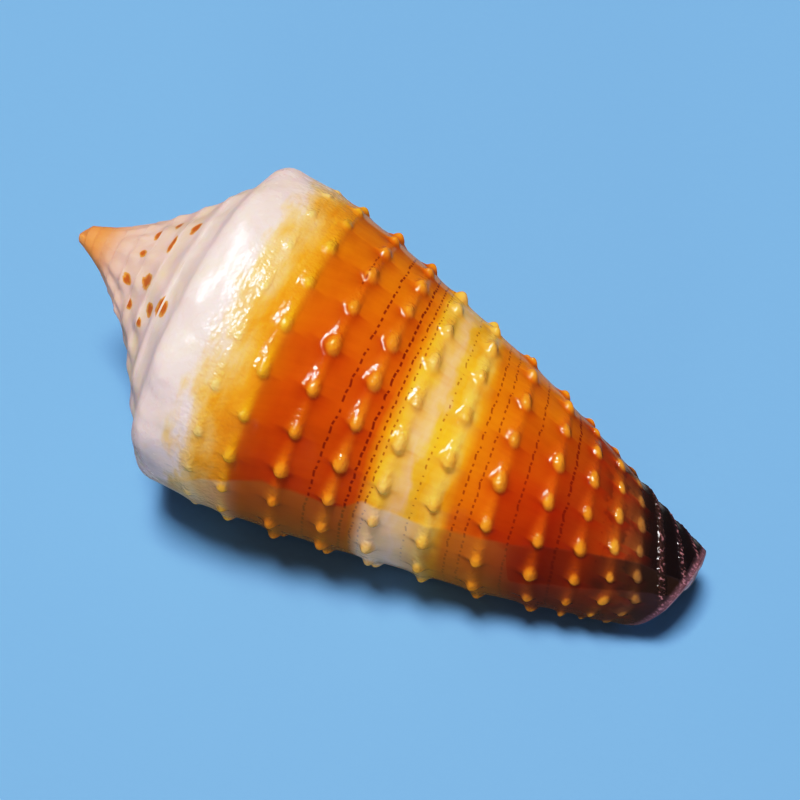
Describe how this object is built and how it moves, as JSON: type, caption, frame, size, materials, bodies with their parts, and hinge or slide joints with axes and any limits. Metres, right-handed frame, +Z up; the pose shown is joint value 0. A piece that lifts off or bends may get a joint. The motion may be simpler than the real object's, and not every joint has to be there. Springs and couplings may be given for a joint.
{
  "type": "cone shell",
  "caption": "Conical spiral sea shell with a pointed concave spire, spiral rows of small pustules and a long narrow aperture, lying on its aperture.",
  "frame": {"origin": "middle of the shell's outline seen from above, at the surface it lies on", "axes": "+Z up, -X the way the pointed spire lies, +X the way the narrow front end lies, aperture down"},
  "size_m": [0.0412, 0.02, 0.0189],
  "materials": {
    "shell": "glossy natural shell, pinkish white spire, orange and yellow bands, dark front end"
  },
  "bodies": {
    "root": {"shell": "shell"}
  },
  "joints": []
}
